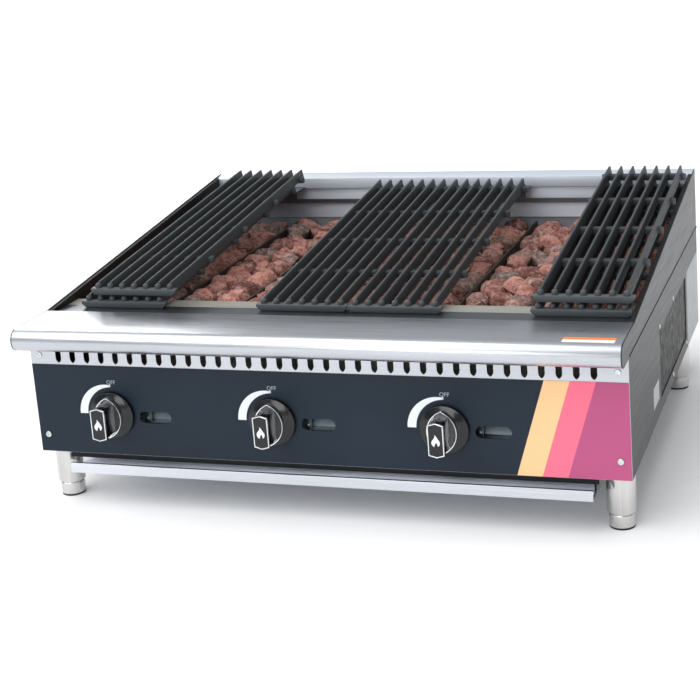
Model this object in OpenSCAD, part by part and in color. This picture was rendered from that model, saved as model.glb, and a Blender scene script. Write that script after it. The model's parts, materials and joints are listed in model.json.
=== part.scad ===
// Countertop gas charbroiler with three burners, lava rock bed and six cast iron grates.
// The origin is at the middle of the footprint on the worktop. The front faces -Y.

/* [Cabinet] */
// Overall width of the cabinet
body_w = 914; // [914:1:940]
// Depth from the control panel face to the back panel
body_d = 760; // [750:1:780]
// Height of the cabinet's underside above the worktop
base_z = 83; // [83:1:100]
// Height of the black control panel overlay
overlay_h = 142; // [138:1:146]
// Height of the splash at the rear, above the cabinet's underside
splash_h = 281; // [276:1:290]
// Thickness of the sheet metal
sheet_t = 1.5; // [1.2:0.1:2]

/* [Front ledge] */
// Radius of the bullnose
nose_r = 17; // [15:1:18]
// How far the bullnose stands in front of the panel
nose_out = 51; // [48:1:56]
// Where the ledge's flat top ends behind the panel
ledge_back = 61; // [58:1:64]

/* [Controls] */
// Spacing of the burners
burner_pitch = 261; // [255:1:265]
// Distance of each knob to the left of its burner's middle
knob_offset = 66; // [60:1:70]
// Height of the knobs above the cabinet's underside
knob_rise = 65; // [62:1:68]
// Radius of the knob skirt
knob_r = 36; // [32:1:38]
// Number of air slots along the top of the panel
vent_count = 35; // [25:1:35]
// Spacing of the air slots
vent_pitch = 24.1; // [23.5:0.1:24.2]

/* [Grates] */
// Width of one grate
grate_w = 145; // [140:1:146]
// Length of one grate along its slope
grate_l = 602; // [590:1:605]
// Number of bars on one grate
bar_count = 7; // [5:1:8]
// Spacing of the bars
bar_pitch = 20.5; // [18:0.1:20.5]
// Slope of the grates, rising to the rear, in degrees
grate_slope = 5.4; // [5:0.1:5.5]

/* [Legs] */
// Radius of the leg tube
leg_r = 21; // [19:0.5:21]
// Radius of the adjustable foot
foot_r = 18.5; // [16:0.5:19]
// Height of the foot that shows below the tube
foot_h = 24; // [20:1:28]

/* [Hidden] */
$fn = 48;

// Cabinet faces. Depths are counted from the face of the control panel.
half_w = body_w / 2;
inlet_out = 24;
panel_y = nose_out - (nose_out + body_d + inlet_out) / 2;
nose_y = nose_r - nose_out;
ledge_z = base_z + 208;
lip_z = ledge_z - 2 * nose_r;
overlay_z = base_z + overlay_h;
splash_z = base_z + splash_h;
side_in = half_w - sheet_t;
liner_x = 449;
liner_base_z = 118;
liner_front_y = ledge_back + 1;
splash_face_y = body_d - 20;
gap = 0.3;

// Grate seats
grate_y = 98;
grate_h = 20;
rail_z = ledge_z - 5;
rail_back_y = 112;
grate_seat_z = rail_z + gap;
stack_rise = (grate_h + gap) / cos(grate_slope);
rear_rail_y = 690;
rear_rail_z = grate_seat_z + (rear_rail_y - grate_y) * tan(grate_slope) - 0.6;
rib_w = 11;
rib_h = 10;
rib_count = 5;
left_stack_x = -415;
center_pair_x = -119;
right_stack_x = 303;
left_shift = 19;
right_shift = 4;
hem_out = 1;
hem_h = 2.4;
rear_rail_spans = [[-412, -273], [center_pair_x + 6, center_pair_x + 285], [306, 445]];

// Lava rock bed
liner_back_y = 148;
bed_front_y = 153;
bed_back_y = 731;
rock_grate_z = 230;
rock_grate_h = 8;
divider_pitch = 116;
divider_w = 6;
divider_top_z = 276;
rock_r = 25;
rock_rows = 10;
rock_seat_z = rock_grate_z + rock_grate_h + rock_r + gap;

// Gas train
burner_xs = [-burner_pitch, 0, burner_pitch];
knob_z = base_z + knob_rise;
knob_xs = [for (x = burner_xs) x - knob_offset];
slot_xs = [for (x = burner_xs) x + 4];
slot_z = knob_z - 3;
slot_w = 53;
slot_h = 18.5;
stem_r = 4;
stem_clearance = 0.05;
stem_hole_r = 6;
knob_gap = 2.2;
knob_depth = 47;
overlay_t = 0.8;
pipe_r = 13.35;
pipe_bore_r = 10.5;
pipe_y = 52;
pipe_z = 124;
pipe_left_x = -400;
pipe_right_x = 404;
supply_x = 424;
supply_z = 101.5;
nipple_r = 5;
pilot_xs = [for (x = slot_xs) x - 26];
pilot_y = 28;
pilot_z = 137;
pilot_tube_r = 3;
burner_half = 60;
burner_mouth_y = 94;
burner_box_y = 200;
burner_end_y = 690;
shutter_r = 25;

// Drip tray and its runners
tray_half_w = 400;
tray_z = 54.3;
tray_h = 17.5;
tray_front_y = 20;
tray_back_y = 720;
tray_lip_y = -12;
runner_x = 402;

// Legs
leg_x = 434;
leg_ys = [38, 635];
stud_r = 5;
pad_h = 3;

// Shifts children so that depth 0 is the face of the control panel.
module in_cabinet() translate([0, panel_y, 0]) children();

// Extrudes a side profile, drawn as depth by height, from x0 to x1.
module profile_between(x0, x1)
    translate([x0, 0, 0]) rotate([90, 0, 90]) linear_extrude(x1 - x0) children();

// Extrudes a front profile, drawn as width by height, from y0 to y1.
module front_profile(y0, y1)
    translate([0, y1, 0]) rotate([90, 0, 0]) linear_extrude(y1 - y0) children();

// One straight run of sheet metal between two points, with round ends.
module sheet_run(a, b, t) {
    run = b - a;
    translate(a) rotate(atan2(run[1], run[0])) translate([0, -t / 2]) square([norm(run), t]);
    translate(a) circle(d = t);
    translate(b) circle(d = t);
}

// A folded sheet that follows a list of points.
module folded_sheet(points, t = sheet_t)
    for (i = [0:len(points) - 2]) sheet_run(points[i], points[i + 1], t);

// A cylinder from y0 to y1 at (x, z).
module rod_y(x, z, y0, y1, r)
    translate([x, y0, z]) rotate([-90, 0, 0]) cylinder(h = y1 - y0, r = r);

// A long hole with round ends.
module slot_shape(w, h) {
    translate([-(w - h) / 2, -h / 2]) square([w - h, h]);
    for (s = [-1, 1]) translate([s * (w - h) / 2, 0]) circle(d = h);
}

// An air slot: straight sides and a curved, pointed lower end made of two arcs.
module vent_shape(w, h) {
    arc_r = 8.5;
    steps = 6;
    sweep = acos((arc_r - w / 2) / arc_r);
    tip = arc_r * sin(sweep);
    side = [for (i = [0:steps]) [arc_r * (1 - cos(i * sweep / steps)), arc_r * sin(i * sweep / steps)]];
    left = [for (p = side) [p[0] - w / 2, tip - p[1]]];
    right = [for (i = [steps - 1:-1:0]) [w / 2 - side[i][0], tip - side[i][1]]];
    polygon(concat([[w / 2, h], [-w / 2, h]], left, right));
}

module knob_and_slot_holes(hole_r) {
    for (x = knob_xs) translate([x, knob_z]) circle(hole_r);
    for (x = slot_xs) translate([x, slot_z]) slot_shape(slot_w, slot_h);
}

screw_spots = [for (sx = [-1, 1], z = [overlay_z + 14, base_z + 28]) [sx * (half_w - 15), z]];
screw_r = 2;

module control_panel() color("lightgray") in_cabinet() {
    vent_w = 9.3;
    vent_h = 28;
    vent_z = overlay_z + 2;
    front_profile(0, sheet_t) difference() {
        translate([-half_w, base_z]) square([body_w, lip_z - base_z]);
        knob_and_slot_holes(stem_hole_r);
        for (spot = screw_spots) translate(spot) circle(screw_r);
        for (i = [0:vent_count - 1])
            translate([(i - (vent_count - 1) / 2) * vent_pitch, vent_z]) vent_shape(vent_w, vent_h);
    }
    translate([-side_in + 2, sheet_t - 0.1, base_z]) cube([2 * side_in - 4, 14, sheet_t]);
}

module panel_overlay() color("darkslategray") in_cabinet() front_profile(-overlay_t, 0)
    difference() {
        translate([-half_w + 0.5, base_z + 0.5]) square([body_w - 1, overlay_h - 1]);
        knob_and_slot_holes(stem_hole_r + 1);
        for (spot = screw_spots) translate(spot) circle(screw_r);
    }

// The round nose, as a band of sheet through half a turn.
module nose_band() translate([nose_y, lip_z + nose_r]) difference() {
    circle(nose_r, $fn = 96);
    circle(nose_r - sheet_t, $fn = 96);
    translate([0, -nose_r - 1]) square(2 * nose_r + 2);
}

module front_ledge() color("silver") in_cabinet() profile_between(-side_in, side_in) {
    nose_band();
    translate([nose_y - 0.1, ledge_z - sheet_t]) square([ledge_back - nose_y + 0.1, sheet_t]);
    translate([nose_y - 0.1, lip_z]) square([15 - nose_y, sheet_t]);
    translate([ledge_back - sheet_t, ledge_z - 22]) square([sheet_t, 22]);
}

// The end plate follows the bullnose and rises to the splash height at the rear.
module upper_side_shape() {
    translate([nose_y, lip_z + nose_r]) circle(nose_r, $fn = 96);
    polygon([[nose_y, lip_z], [body_d, lip_z], [body_d, splash_z], [ledge_back, ledge_z],
             [nose_y, ledge_z]]);
}

// A narrow hem stands out along the lower edge of each end plate.
module side_hem(s) translate([s > 0 ? half_w - 0.2 : -half_w - hem_out, 12, lip_z])
    cube([hem_out + 0.2, body_d - 12, hem_h]);

module left_upper_side() color("silver") in_cabinet() {
    profile_between(-half_w, -side_in) upper_side_shape();
    side_hem(-1);
}

module right_upper_side() color("silver") in_cabinet() {
    profile_between(side_in, half_w) upper_side_shape();
    side_hem(1);
}

window_front_y = 285;
window_back_y = 593;
window_low_z = base_z + 20;
window_high_z = base_z + 127;
corner_y = 610;
corner_z = base_z + 131;

side_screw_spots = [
    [window_front_y, window_high_z + 7], [(window_front_y + window_back_y) / 2, window_high_z + 7],
    [(window_front_y + window_back_y) / 2 - 20, window_low_z - 7], [window_back_y - 4, window_low_z - 7]
];

module side_panel_shape() difference() {
    translate([sheet_t, base_z]) square([body_d - sheet_t, lip_z - base_z]);
    translate([window_front_y, window_low_z])
        square([window_back_y - window_front_y, window_high_z - window_low_z]);
    translate([corner_y, base_z - 1]) square([body_d, corner_z - base_z + 1]);
    for (spot = side_screw_spots) translate(spot) circle(screw_r);
}

module left_side_panel() color("gray") in_cabinet()
    profile_between(-half_w, -side_in) side_panel_shape();

module right_side_panel() color("gray") in_cabinet()
    profile_between(side_in, half_w) side_panel_shape();

module side_backings() color("dimgray") in_cabinet() for (s = [-1, 1])
    profile_between(s * side_in - (s + 1) / 2, s * side_in - (s - 1) / 2) difference() {
        translate([window_front_y - 18, window_low_z - 14])
            square([window_back_y - window_front_y + 32, window_high_z - window_low_z + 30]);
        for (spot = side_screw_spots) translate(spot) circle(screw_r);
    }

// Inner wall of the firebox, with a narrow cap that closes the gap to the outer plate.
module liner_wall(s) {
    top_drop = 1;
    liner_stop = 8;
    rise = (splash_z - ledge_z) / (body_d - ledge_back);
    front_z = ledge_z + rise * (liner_front_y - ledge_back) - top_drop;
    back_z = ledge_z + rise * (splash_face_y - liner_stop - ledge_back) - top_drop;
    inner = s > 0 ? liner_x : -liner_x - sheet_t;
    cap_in = s > 0 ? liner_x : -side_in + 0.1;
    profile_between(inner, inner + sheet_t)
        polygon([[liner_front_y, liner_base_z], [splash_face_y - liner_stop, liner_base_z],
                 [splash_face_y - liner_stop, back_z], [liner_front_y, front_z]]);
    profile_between(cap_in, cap_in + side_in - liner_x - 0.1)
        polygon([[liner_front_y, front_z], [splash_face_y - liner_stop, back_z],
                 [splash_face_y - liner_stop, back_z - sheet_t], [liner_front_y, front_z - sheet_t]]);
}

module left_liner() color("black") in_cabinet() liner_wall(-1);

module right_liner() color("black") in_cabinet() liner_wall(1);

module front_liner() color("tan") in_cabinet() difference() {
    profile_between(-liner_x + 0.4, liner_x - 0.4)
        folded_sheet([[rail_back_y + 2, rail_z - 1.2], [liner_back_y, rail_z - 1.2],
                      [liner_back_y, liner_base_z]]);
    for (x = knob_xs) rod_y(x, knob_z, liner_back_y - 5, liner_back_y + 5, 19.2);
    for (x = slot_xs) rod_y(x, knob_z + 8, liner_back_y - 5, liner_back_y + 5, 4);
}

module front_grate_rail() color("slategray") in_cabinet() profile_between(-liner_x + 0.4, liner_x - 0.4) {
    translate([ledge_back + 0.1, rail_z - sheet_t]) square([rail_back_y - ledge_back - 0.1, sheet_t]);
    translate([rail_back_y - sheet_t, rail_z - 26]) square([sheet_t, 26]);
}

// The splash face is lapped like boards: each band's lower edge stands forward.
module rear_splash() color("silver") in_cabinet() {
    face = splash_face_y;
    out = 6;
    laps = [[face - out, -6], [face - out, -25], [face, -27], [face - out, -53], [face, -56],
            [face - out, -81], [face, -84], [face, liner_base_z + 30 - splash_z]];
    front = [for (p = laps) p + [0, splash_z]];
    rear = [for (i = [len(front) - 1:-1:0]) front[i] + [sheet_t, i == 0 ? -sheet_t : sheet_t]];
    profile_between(-side_in + 0.1, side_in - 0.1)
        polygon(concat([[body_d, lip_z + 1], [body_d, splash_z]], front, rear,
                       [[body_d - sheet_t, splash_z - sheet_t], [body_d - sheet_t, lip_z + 1]]));
}

// Three angle brackets, one under each group of grates, tied by a strip across the firebox.
module rear_grate_rail() color("slategray") in_cabinet() {
    rail_end_y = splash_face_y - 7.2;
    for (span = rear_rail_spans) profile_between(span[0], span[1]) {
        translate([rear_rail_y, rear_rail_z - sheet_t]) square([rail_end_y - rear_rail_y, sheet_t]);
        translate([rear_rail_y, rear_rail_z - 16]) square([sheet_t, 16]);
    }
    profile_between(-liner_x + 0.4, liner_x - 0.4)
        translate([rear_rail_y, rear_rail_z - 22]) square([sheet_t, 8]);
}

module back_panel() color("lightgray") in_cabinet() {
    front_profile(body_d - sheet_t, body_d) difference() {
        union() {
            translate([-half_w, base_z]) square([body_w, corner_z - base_z]);
            translate([-side_in, base_z]) square([2 * side_in, lip_z - base_z]);
        }
        translate([supply_x, supply_z]) circle(pipe_r + 2);
    }
    for (s = [-1, 1])
        profile_between(s > 0 ? side_in : -half_w, s > 0 ? half_w : -side_in)
            translate([corner_y + 0.2, base_z])
                square([body_d - corner_y - 0.2, corner_z - base_z - 0.2]);
}

// Bottom channel that the legs screw into.
module base_channel(s) {
    inner = 407;
    x0 = s > 0 ? inner : -side_in + 0.1;
    difference() {
        translate([x0, 17, base_z]) cube([side_in - inner - 0.1, body_d - 19, 2]);
        for (y = leg_ys) translate([s * leg_x, y, base_z - 1]) cylinder(h = 4, r = stud_r);
    }
    translate([s > 0 ? inner : -inner - 2, 17, base_z]) cube([2, body_d - 19, 12]);
}

module left_base_rail() color("gray") in_cabinet() base_channel(-1);

module right_base_rail() color("gray") in_cabinet() base_channel(1);

module front_base_rail() color("black") in_cabinet() {
    rail_half = 410;
    translate([-rail_half, 4, base_z - 9]) cube([2 * rail_half, 2, 9]);
    translate([-rail_half, 4, base_z - 2]) cube([2 * rail_half, 11, 2]);
}

module tray_runners() color("gray") in_cabinet() for (s = [-1, 1]) {
    flange = 14;
    ear = 4.9;
    translate([s > 0 ? runner_x : -runner_x - sheet_t, 24, tray_z - sheet_t - gap])
        cube([sheet_t, body_d - 40, base_z - tray_z + 2 * sheet_t + gap]);
    translate([s > 0 ? runner_x - flange : -runner_x, 24, tray_z - sheet_t - gap])
        cube([flange, body_d - 40, sheet_t]);
    translate([s > 0 ? runner_x : -runner_x - ear, 24, base_z])
        cube([ear, body_d - 40, sheet_t]);
}

// Cross rails for the rock grates. The rear one also holds the burners' rear pins.
module firebox_rails() color("dimgray") in_cabinet() {
    rail_half = liner_x - 0.4;
    translate([-rail_half, liner_back_y + 0.8, rock_grate_z - 3]) cube([2 * rail_half, 16, 3]);
    difference() {
        union() {
            translate([-rail_half, 719, rock_grate_z - 3]) cube([2 * rail_half, 16, 3]);
            translate([-rail_half, 719, knob_z - 20]) cube([2 * rail_half, 3, rock_grate_z - knob_z + 18]);
        }
        for (x = burner_xs) rod_y(x, knob_z, 715, 725, stud_r);
    }
}

// Three cast iron grids, side by side, that carry the lava rocks.
module rock_grates() color("dimgray") in_cabinet() {
    grid_w = 297;
    strip_count = 10;
    depth = bed_back_y - bed_front_y + 2;
    for (k = [-1:1]) translate([k * (grid_w + 1) - grid_w / 2, bed_front_y - 1, rock_grate_z]) {
        for (y = [0, depth / 2 - 4, depth - 8]) translate([0, y, 0]) cube([grid_w, 8, rock_grate_h]);
        for (i = [0:strip_count - 1])
            translate([i * (grid_w - 6) / (strip_count - 1), 0, 0]) cube([6, depth, rock_grate_h]);
    }
}

divider_xs = [for (k = [-2.5:1:2.5]) k * divider_pitch];

module rock_dividers() color("dimgray") in_cabinet() for (x = divider_xs) {
    z0 = rock_grate_z + rock_grate_h;
    translate([x - divider_w / 2, bed_front_y, z0]) cube([divider_w, bed_back_y - bed_front_y, 4]);
    translate([x - 1.5, bed_front_y, z0]) cube([3, bed_back_y - bed_front_y, divider_top_z - z0]);
}

// One lane of lava rocks between two dividers.
module rock_lane(x0, x1) {
    across = floor((x1 - x0) / (2 * rock_r));
    step_x = (x1 - x0) / across;
    step_y = (bed_back_y - bed_front_y - 2 * rock_r) / (rock_rows - 1);
    for (i = [0:across - 1], j = [0:rock_rows - 1])
        translate([x0 + (i + 0.5) * step_x, bed_front_y + rock_r + j * step_y, rock_seat_z])
            sphere(rock_r - 0.2);
}

module rock_lanes(edges) for (k = [0:len(edges) - 2])
    rock_lane(edges[k] + divider_w / 2, edges[k + 1] - divider_w / 2);

outer_edge = liner_x - 1;

module lava_rocks_left() color("rosybrown") in_cabinet()
    rock_lanes([-outer_edge, divider_xs[0], divider_xs[1]]);

module lava_rocks_center() color("rosybrown") in_cabinet()
    rock_lanes([divider_xs[1], divider_xs[2], divider_xs[3], divider_xs[4]]);

module lava_rocks_right() color("rosybrown") in_cabinet()
    rock_lanes([divider_xs[4], divider_xs[5], outer_edge]);

// Cast burner: mixing tube from the valve, cross box and two port tubes.
module burner_hollow(x, grow) {
    tube_w = 26 + 2 * grow;
    box_w = 2 * burner_half + 30 + 2 * grow;
    rod_y(x - knob_offset, knob_z, burner_mouth_y - (grow > 0 ? 0 : 1), burner_box_y + 5, 14 + grow);
    translate([x - box_w / 2, burner_box_y - grow, knob_z - 13 - grow])
        cube([box_w, 30 + 2 * grow, tube_w]);
    for (s = [-1, 1])
        translate([x + s * burner_half - tube_w / 2, burner_box_y, knob_z - 13 - grow])
            cube([tube_w, burner_end_y - burner_box_y - 30 + grow, tube_w]);
    translate([x - box_w / 2, burner_end_y - 30 - grow, knob_z - 13 - grow])
        cube([box_w, 20 + 2 * grow, tube_w]);
}

module burner(x) color("dimgray") in_cabinet() {
    port_pitch = 24;
    port_count = 16;
    difference() {
        burner_hollow(x, 4);
        burner_hollow(x, 0);
        for (s = [-1, 1], i = [0:port_count - 1])
            translate([x + s * burner_half, burner_box_y + 45 + i * port_pitch, knob_z + 10])
                cylinder(h = 10, r = 1.5);
    }
    rod_y(x, knob_z, burner_end_y - 7, 719 + 3, stud_r);
}

module burner_left() burner(burner_xs[0]);

module burner_center() burner(burner_xs[1]);

module burner_right() burner(burner_xs[2]);

module air_shutters() color("silver") in_cabinet() for (x = knob_xs) difference() {
    union() {
        rod_y(x, knob_z, burner_mouth_y - 2, burner_mouth_y, shutter_r);
        rod_y(x, knob_z, burner_mouth_y - 2, burner_mouth_y + 14, 20.2);
    }
    rod_y(x, knob_z, burner_mouth_y - 3, burner_mouth_y + 0.01, 8);
    rod_y(x, knob_z, burner_mouth_y, burner_mouth_y + 15, 18.05);
    for (a = [45:90:315])
        rod_y(x + 15 * cos(a), knob_z + 15 * sin(a), burner_mouth_y - 3, burner_mouth_y + 0.01, 2.5);
}

module gas_valves() color("gold") in_cabinet() for (x = knob_xs) difference() {
    union() {
        rod_y(x, knob_z, 14, 34, 12);
        rod_y(x, knob_z, 34, 62, 8);
        rod_y(x, knob_z, 62, 72, 5);
        translate([x, pipe_y, pipe_z + pipe_r]) cylinder(h = knob_z - pipe_z - pipe_r, r = 8);
        translate([x, pipe_y, pipe_z + pipe_r - 4]) cylinder(h = 6, r = nipple_r);
        translate([x - 17, 18, knob_z - 4]) cube([34, 8, 8]);
    }
    rod_y(x, knob_z, 13, 32, stem_r + stem_clearance);
}

module orifice_hoods() color("gold") in_cabinet() for (x = knob_xs) difference() {
    translate([x, 64, knob_z]) rotate([-90, 0, 0]) cylinder(h = 22, r = 7, $fn = 6);
    rod_y(x, knob_z, 63, 72, 5);
    rod_y(x, knob_z, 71, 90, 0.9);
}

module manifold_pipe() color("silver") in_cabinet() difference() {
    translate([pipe_left_x, pipe_y, pipe_z]) rotate([0, 90, 0])
        cylinder(h = pipe_right_x - pipe_left_x, r = pipe_r);
    translate([pipe_left_x + 8, pipe_y, pipe_z]) rotate([0, 90, 0])
        cylinder(h = pipe_right_x - pipe_left_x, r = pipe_bore_r);
    for (x = knob_xs) translate([x, pipe_y, pipe_z]) cylinder(h = pipe_r + 1, r = nipple_r);
    for (x = pilot_xs) rod_y(x, pipe_z, pipe_y - pipe_r - 1, pipe_y, pilot_tube_r);
}

// Elbow, short drop and long run to the rear. The collar outside the back panel is the
// shoulder that the supply fitting stops against.
module gas_supply_pipe() color("darkgray") in_cabinet() {
    elbow_r = 17;
    difference() {
        union() {
            translate([pipe_right_x, pipe_y, pipe_z]) rotate([0, 90, 0])
                cylinder(h = supply_x - pipe_right_x, r = elbow_r);
            translate([supply_x, pipe_y, pipe_z]) sphere(elbow_r);
            translate([supply_x, pipe_y, supply_z]) cylinder(h = pipe_z - supply_z, r = pipe_r);
            translate([supply_x, pipe_y, supply_z]) sphere(pipe_r);
            rod_y(supply_x, supply_z, pipe_y, body_d + inlet_out, pipe_r);
            rod_y(supply_x, supply_z, body_d + 1, body_d + 8, 18);
        }
        rod_y(supply_x, supply_z, pipe_y, body_d + inlet_out + 1, pipe_bore_r);
    }
}

module pilot_valves() color("gold") in_cabinet() for (x = pilot_xs) {
    rod_y(x, pilot_z - 4, pilot_y - 8, pilot_y - 3.9, 3);
    translate([x - 3.5, pilot_y - 4, pipe_z - 4]) cube([7, 8, pilot_z - pipe_z + 11]);
    rod_y(x, pipe_z, pilot_y + 3, pipe_y - pipe_r + 2, pilot_tube_r);
}

// Small tube from each pilot valve, up behind the pipe and back to the pilot head.
module pilot_tubes() color("silver") in_cabinet() for (i = [0:2]) {
    x = slot_xs[i];
    run_z = knob_z + 8;
    run_end_y = 180;
    translate([pilot_xs[i], pilot_y, pilot_z + 7]) cylinder(h = run_z - pilot_z - 7, r = pilot_tube_r);
    translate([pilot_xs[i], pilot_y, run_z]) sphere(pilot_tube_r);
    translate([pilot_xs[i], pilot_y, run_z]) rotate([0, 90, 0])
        cylinder(h = x - pilot_xs[i], r = pilot_tube_r);
    translate([x, pilot_y, run_z]) sphere(pilot_tube_r);
    rod_y(x, run_z, pilot_y, run_end_y, pilot_tube_r);
    translate([x, run_end_y, run_z]) sphere(pilot_tube_r);
    translate([x, run_end_y, run_z]) cylinder(h = 16, r = pilot_tube_r);
}

module pilot_heads() color("silver") in_cabinet() for (x = slot_xs)
    translate([x, 180, knob_z + 24]) {
        cylinder(h = 14, r = 6);
        translate([-5, 0, 8]) cube([10, 14, 4]);
    }

module screw_head(head_r, head_h, shank) {
    rotate([-90, 0, 0]) {
        difference() {
            translate([0, 0, -head_h]) cylinder(h = head_h, r = head_r);
            translate([-head_r + 1, -0.5, -head_h - 1]) cube([2 * head_r - 2, 1, 2]);
        }
        cylinder(h = shank, r = screw_r);
    }
}

module panel_screws() color("whitesmoke") in_cabinet() for (spot = screw_spots)
    translate([spot[0], spot[1] < overlay_z ? -overlay_t : 0, spot[1]]) screw_head(4.8, 2.2, 12);

module side_screws() color("whitesmoke") in_cabinet() for (s = [-1, 1], spot = side_screw_spots)
    translate([s * half_w, spot[0], spot[1]]) rotate([0, 0, s * 90]) screw_head(3.6, 1.6, 4);

module rating_plate() color("whitesmoke") in_cabinet()
    translate([half_w, 206, base_z + 28]) cube([0.6, 54, 32]);

module ledge_label() color("orange") in_cabinet()
    translate([374, -33.8, ledge_z]) cube([71, 21, 0.3]);

module leg_tubes() color("lightgray") in_cabinet() for (s = [-1, 1], y = leg_ys)
    translate([s * leg_x, y, 0]) difference() {
        union() {
            translate([0, 0, foot_h]) cylinder(h = base_z - foot_h, r = leg_r);
            translate([0, 0, base_z - 1]) cylinder(h = 6, r = stud_r);
        }
        translate([0, 0, foot_h - 1]) cylinder(h = 50, r = stud_r + stem_clearance);
    }

// Knob: domed skirt and a tall grip bar with curved ends. Local z points out of the panel.
module knob(x) color("black") in_cabinet()
    translate([x, -overlay_t - knob_gap, knob_z]) rotate([90, 0, 0]) difference() {
        union() {
            cylinder(h = 5, r = knob_r);
            rotate_extrude() intersection() {
                translate([0, -50]) circle(63, $fn = 96);
                translate([0, 5]) square([knob_r - 2, 30]);
            }
            linear_extrude(knob_depth) intersection() {
                square([27, 52], center = true);
                circle(27);
            }
        }
        translate([0, 0, -1]) cylinder(h = 19, r = stem_r);
    }

module knob_left() knob(knob_xs[0]);

module knob_center() knob(knob_xs[1]);

module knob_right() knob(knob_xs[2]);

module valve_stem(x) color("silver") in_cabinet()
    rod_y(x, knob_z, -overlay_t - knob_gap - 18, 31, stem_r);

module valve_stem_left() valve_stem(knob_xs[0]);

module valve_stem_center() valve_stem(knob_xs[1]);

module valve_stem_right() valve_stem(knob_xs[2]);

module drip_tray() color("silver") in_cabinet() {
    depth = tray_back_y - tray_front_y;
    difference() {
        translate([-tray_half_w, tray_front_y, tray_z]) cube([2 * tray_half_w, depth, tray_h]);
        translate([-tray_half_w + sheet_t, tray_front_y + sheet_t, tray_z + sheet_t])
            cube([2 * (tray_half_w - sheet_t), depth - 2 * sheet_t, tray_h]);
    }
}

// Hemmed front strip that hides the tray's edge and serves as its pull.
module tray_front() color("whitesmoke") in_cabinet()
    profile_between(-tray_half_w - 4, tray_half_w + 4)
        folded_sheet([[tray_front_y - 0.8, tray_z + 0.8], [tray_lip_y, tray_z + 0.8],
                      [tray_lip_y, tray_z + 15], [tray_lip_y + 4, tray_z + 15],
                      [tray_lip_y + 4, tray_z + 10]]);

// One cast iron grate: wedge bars on cross ribs, lying in its own plane.
module grate_body() {
    half = grate_w / 2;
    rib_step = (grate_l - 3 - rib_w) / (rib_count - 1);
    chamfer = 6;
    bar_end = 4;
    translate([0, rib_w, 0]) rotate([90, 0, 0]) linear_extrude(rib_w)
        polygon([[-half + chamfer, 0], [half - chamfer, 0], [half, chamfer],
                 [half, rib_h], [-half, rib_h], [-half, chamfer]]);
    for (i = [1:rib_count - 1]) translate([0, i * rib_step - (i == rib_count - 1 ? 10 : 0), 0]) {
        translate([-half + rib_w / 2, 0, 0]) cube([grate_w - rib_w, rib_w, rib_h]);
        for (s = [-1, 1]) translate([s * (half - rib_w / 2), rib_w / 2, 0]) cylinder(h = rib_h, d = rib_w);
    }
    for (i = [0:bar_count - 1]) translate([(i - (bar_count - 1) / 2) * bar_pitch, bar_end, 0]) {
        rotate([90, 0, 0]) mirror([0, 0, 1]) linear_extrude(grate_l - bar_end)
            polygon([[-3.4, 3], [3.4, 3], [3.4, 7], [2.6, 11], [1.8, grate_h - 1.2], [1, grate_h],
                     [-1, grate_h], [-1.8, grate_h - 1.2], [-2.6, 11], [-3.4, 7]]);
        translate([0, 3, 6]) cylinder(h = 10.5, r = 5);
        translate([0, 3, 16.5]) intersection() {
            translate([0, 0, -3.1]) sphere(5.4);
            cylinder(h = 3, r = 6);
        }
    }
}

module grate_at(x, level) color("darkslategray") in_cabinet()
    translate([x + grate_w / 2, grate_y, grate_seat_z + level * stack_rise])
        rotate([grate_slope, 0, 0]) grate_body();

module grate_left_lower() grate_at(left_stack_x, 0);

module grate_left_upper() grate_at(left_stack_x + left_shift, 1);

module grate_center_left() grate_at(center_pair_x, 0);

module grate_center_right() grate_at(center_pair_x + grate_w + 1, 0);

module grate_right_lower() grate_at(right_stack_x, 0);

module grate_right_upper() grate_at(right_stack_x + right_shift, 1);

// Adjustable foot: steel body on a threaded stud, with a separate rubber pad below.
module foot(sx, y) color("lightgray") in_cabinet() translate([sx * leg_x, y, 0]) {
    cylinder(h = pad_h, r = foot_r - 0.4);
    translate([0, 0, pad_h]) cylinder(h = foot_h - pad_h - gap, r = foot_r);
    translate([0, 0, foot_h - gap - 1]) cylinder(h = 40, r = stud_r);
}

module foot_front_left() foot(-1, leg_ys[0]);

module foot_front_right() foot(1, leg_ys[0]);

module foot_rear_left() foot(-1, leg_ys[1]);

module foot_rear_right() foot(1, leg_ys[1]);

control_panel();
panel_overlay();
front_ledge();
left_upper_side();
right_upper_side();
left_side_panel();
right_side_panel();
side_backings();
left_liner();
right_liner();
front_liner();
front_grate_rail();
rear_splash();
rear_grate_rail();
back_panel();
left_base_rail();
right_base_rail();
front_base_rail();
tray_runners();
firebox_rails();
rock_grates();
rock_dividers();
lava_rocks_left();
lava_rocks_center();
lava_rocks_right();
burner_left();
burner_center();
burner_right();
air_shutters();
gas_valves();
orifice_hoods();
manifold_pipe();
gas_supply_pipe();
pilot_valves();
pilot_tubes();
pilot_heads();
panel_screws();
side_screws();
rating_plate();
ledge_label();
leg_tubes();
knob_left();
knob_center();
knob_right();
valve_stem_left();
valve_stem_center();
valve_stem_right();
drip_tray();
tray_front();
grate_left_lower();
grate_left_upper();
grate_center_left();
grate_center_right();
grate_right_lower();
grate_right_upper();
foot_front_left();
foot_front_right();
foot_rear_left();
foot_rear_right();
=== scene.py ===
import json
import logging
import math
import random
from dataclasses import dataclass
from enum import Enum
from typing import Callable, Iterable, Sequence

import bpy
from mathutils import Matrix, Vector

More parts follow.
